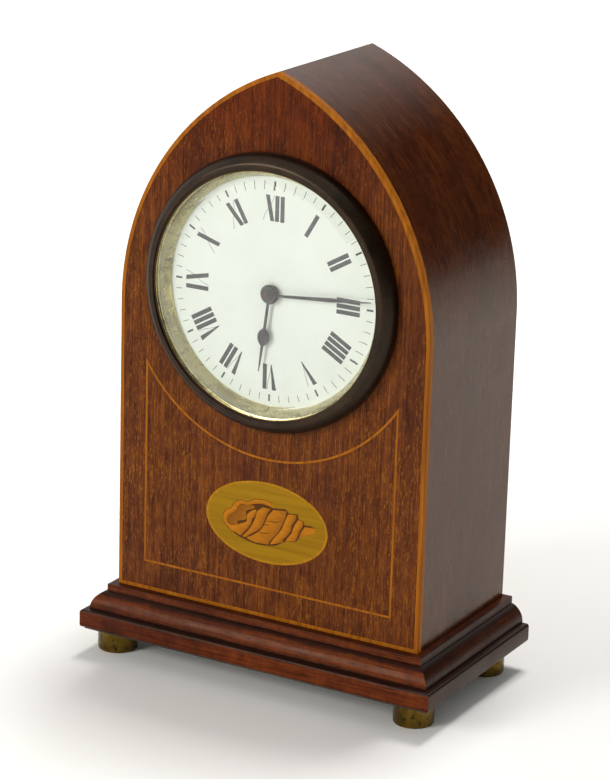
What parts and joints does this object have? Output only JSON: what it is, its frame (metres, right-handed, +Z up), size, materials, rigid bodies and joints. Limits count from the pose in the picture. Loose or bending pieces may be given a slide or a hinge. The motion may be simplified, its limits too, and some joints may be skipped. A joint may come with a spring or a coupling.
{
  "type": "lancet mantel timepiece",
  "caption": "Pointed-arch mahogany mantel timepiece with boxwood stringing, shell inlay, enamel dial under glass, brass feet and a balance-wheel movement.",
  "frame": {"origin": "centre of the bounding box at the undersides of the feet", "axes": "+Z up, the dial faces -Y, +X to the right of someone who faces the dial"},
  "size_m": [0.1514, 0.0886, 0.2352],
  "materials": {
    "veneer": "figured mahogany veneer, french polished",
    "carcase": "dark polished mahogany",
    "plinth_wood": "red mahogany, french polished",
    "inner_wood": "plain inner wood",
    "boxwood": "boxwood line, polished",
    "shell_wood": "scorched and shaded sycamore",
    "ground_wood": "green-stained wood",
    "lining": "dark lining",
    "foot_brass": "tarnished turned brass",
    "bezel_brass": "dark bronzed brass",
    "sight_gilt": "worn gilt",
    "glazing": "clear bevelled glass",
    "enamel": "white vitreous enamel with black numerals",
    "hand_steel": "blued black steel",
    "plate_brass": "polished brass",
    "steel": "polished steel",
    "spring_steel": "blued spring steel",
    "door_brass": "lacquered brass"
  },
  "bodies": {
    "case": {"left_side": "carcase", "right_side": "carcase", "bottom_board": "inner_wood", "back_panel": "inner_wood", "front_panel": "veneer", "edge_stringing": "boxwood", "panel_stringing": "boxwood", "patera_border": "boxwood", "shell_inlay": "shell_wood", "patera_ground": "ground_wood", "plinth_moulding": "plinth_wood", "plinth_slab": "plinth_wood", "base_lining": "lining", "foot_front_left": "foot_brass", "foot_front_right": "foot_brass", "foot_rear_left": "foot_brass", "foot_rear_right": "foot_brass", "foot_screws": "steel", "bezel": "bezel_brass", "bezel_glass": "glazing", "sight_ring": "sight_gilt", "dial": "enamel", "dial_feet": "plate_brass", "front_plate": "plate_brass", "back_plate": "plate_brass", "pillars": "plate_brass", "movement_screws": "spring_steel", "click_screw": "spring_steel", "click_spring": "spring_steel", "escapement_platform": "plate_brass", "escapement_bridge": "plate_brass", "hairspring": "spring_steel", "balance_cock": "plate_brass", "rear_ring": "door_brass", "hinge_pin": "steel", "tie_rods": "plate_brass", "tie_screws": "spring_steel"},
    "minute_arbor": {"centre_wheel": "plate_brass", "cannon_pinion": "steel", "minute_hand": "hand_steel", "hand_collet": "plate_brass", "setting_knob": "plate_brass"},
    "hour_pipe": {"hour_wheel": "plate_brass", "hour_hand": "hand_steel"},
    "minute_wheel": {"minute_wheel": "plate_brass"},
    "intermediate": {"intermediate_wheel": "plate_brass"},
    "barrel": {"barrel": "plate_brass", "barrel_cover": "plate_brass", "mainspring": "spring_steel"},
    "winding": {"barrel_arbor": "steel", "ratchet_wheel": "steel"},
    "third": {"third_wheel": "plate_brass"},
    "fourth": {"fourth_wheel": "plate_brass"},
    "escape": {"escape_wheel": "plate_brass"},
    "lever": {"lever": "steel"},
    "balance": {"balance_wheel": "plate_brass"},
    "click": {"click": "steel"},
    "back_door": {"back_door": "door_brass", "door_knob": "door_brass"}
  },
  "joints": [
    {"name": "minute_turn", "type": "hinge", "parent": "case", "child": "minute_arbor", "pos_m": [0, -0.03365, 0.154], "axis": [0, 1, 0], "continuous": true},
    {"name": "minute_wheel_turn", "type": "hinge", "parent": "case", "child": "minute_wheel", "pos_m": [0.006, -0.02885, 0.14361], "axis": [0, 1, 0], "continuous": true},
    {"name": "hour_turn", "type": "hinge", "parent": "case", "child": "hour_pipe", "pos_m": [0, -0.03365, 0.154], "axis": [0, 1, 0], "continuous": true},
    {"name": "intermediate_turn", "type": "hinge", "parent": "case", "child": "intermediate", "pos_m": [-0.01562, -0.00965, 0.15195], "axis": [0, 1, 0], "continuous": true},
    {"name": "barrel_turn", "type": "hinge", "parent": "case", "child": "barrel", "pos_m": [-0.00684, -0.01865, 0.13521], "axis": [0, 1, 0], "continuous": true},
    {"name": "third_turn", "type": "hinge", "parent": "case", "child": "third", "pos_m": [0.01014, -0.01965, 0.16423], "axis": [0, 1, 0], "continuous": true},
    {"name": "fourth_turn", "type": "hinge", "parent": "case", "child": "fourth", "pos_m": [-0.00092, -0.00765, 0.16864], "axis": [0, 1, 0], "continuous": true},
    {"name": "escape_turn", "type": "hinge", "parent": "case", "child": "escape", "pos_m": [-0.0085, 0.00035, 0.175], "axis": [0, 1, 0], "continuous": true},
    {"name": "winding_turn", "type": "hinge", "parent": "case", "child": "winding", "pos_m": [-0.00684, -0.00165, 0.13521], "axis": [0, 1, 0], "continuous": true},
    {"name": "click_turn", "type": "hinge", "parent": "case", "child": "click", "pos_m": [0.00218, -0.00165, 0.13192], "axis": [0, 1, 0], "range_deg": [0, 8], "stiffness_Nm_per_rad": 0.0005, "springref_deg": -11.46},
    {"name": "lever_rock", "type": "hinge", "parent": "case", "child": "lever", "pos_m": [-0.0023, 0.00035, 0.175], "axis": [0, 1, 0], "range_deg": [-4, 4]},
    {"name": "balance_swing", "type": "hinge", "parent": "case", "child": "balance", "pos_m": [0.005, 0.00435, 0.175], "axis": [0, 1, 0], "range_deg": [-220, 220], "stiffness_Nm_per_rad": 0.000012},
    {"name": "door_hinge", "type": "hinge", "parent": "case", "child": "back_door", "pos_m": [-0.0484, 0.03975, 0.154], "axis": [0, 0, 1], "range_deg": [0, 115]}
  ],
  "couplings": [
    {"joint": "minute_wheel_turn", "follows": "minute_turn", "ratio": -0.33333},
    {"joint": "hour_turn", "follows": "minute_turn", "ratio": 0.083333},
    {"joint": "intermediate_turn", "follows": "minute_turn", "ratio": -0.16667},
    {"joint": "barrel_turn", "follows": "minute_turn", "ratio": 0.027778},
    {"joint": "third_turn", "follows": "minute_turn", "ratio": -8},
    {"joint": "fourth_turn", "follows": "minute_turn", "ratio": 60},
    {"joint": "escape_turn", "follows": "minute_turn", "ratio": -600}
  ]
}
